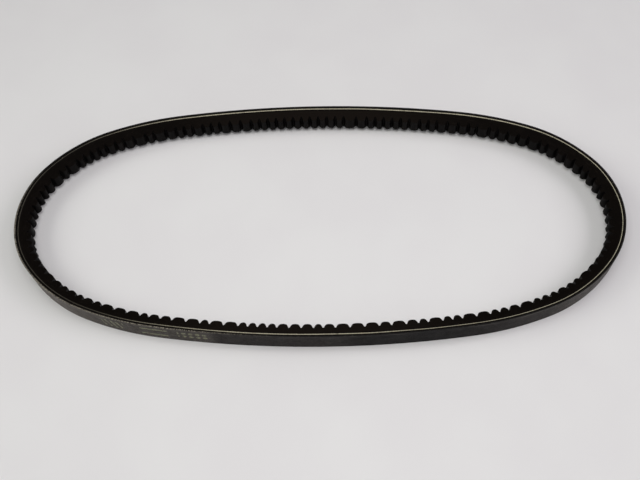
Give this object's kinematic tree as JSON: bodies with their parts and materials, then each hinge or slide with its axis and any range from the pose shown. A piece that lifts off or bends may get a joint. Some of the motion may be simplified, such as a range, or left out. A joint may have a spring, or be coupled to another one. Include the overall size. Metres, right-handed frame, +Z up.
{
  "type": "v belt",
  "caption": "Endless raw-edge cogged V belt, 13 x 8 mm section, lying on its edge as a relaxed oval, with moulded cogs inside and a fabric back outside.",
  "frame": {"origin": "middle of the loop in plan, on the surface that the belt lies on", "axes": "+X along the oval's long direction, +Y across the oval, +Z up through the belt's width; the flat back faces outwards all round and the cogs face the middle"},
  "size_m": [0.322, 0.1418, 0.013],
  "materials": {
    "back_fabric": "rubberised woven ply, matt, slightly dusty",
    "ply_fabric": "rubberised woven ply seen at its cut edge",
    "cushion_rubber": "matt cut rubber",
    "tensile_cord": "twisted polyester cord, cut along the sidewalls",
    "compression_rubber": "ground sidewalls with short fibres, satin moulded cogs"
  },
  "bodies": {
    "root": {"back_fabric_outer_ply": "back_fabric", "back_fabric_inner_ply": "ply_fabric", "upper_cushion_rubber": "cushion_rubber", "tensile_cord_turn_01": "tensile_cord", "tensile_cord_turn_02": "tensile_cord", "tensile_cord_turn_03": "tensile_cord", "tensile_cord_turn_04": "tensile_cord", "tensile_cord_turn_05": "tensile_cord", "tensile_cord_turn_06": "tensile_cord", "tensile_cord_turn_07": "tensile_cord", "tensile_cord_turn_08": "tensile_cord", "tensile_cord_turn_09": "tensile_cord", "tensile_cord_turn_10": "tensile_cord", "tensile_cord_turn_11": "tensile_cord", "lower_cushion_rubber": "cushion_rubber", "cogged_compression_rubber": "compression_rubber"}
  },
  "joints": []
}
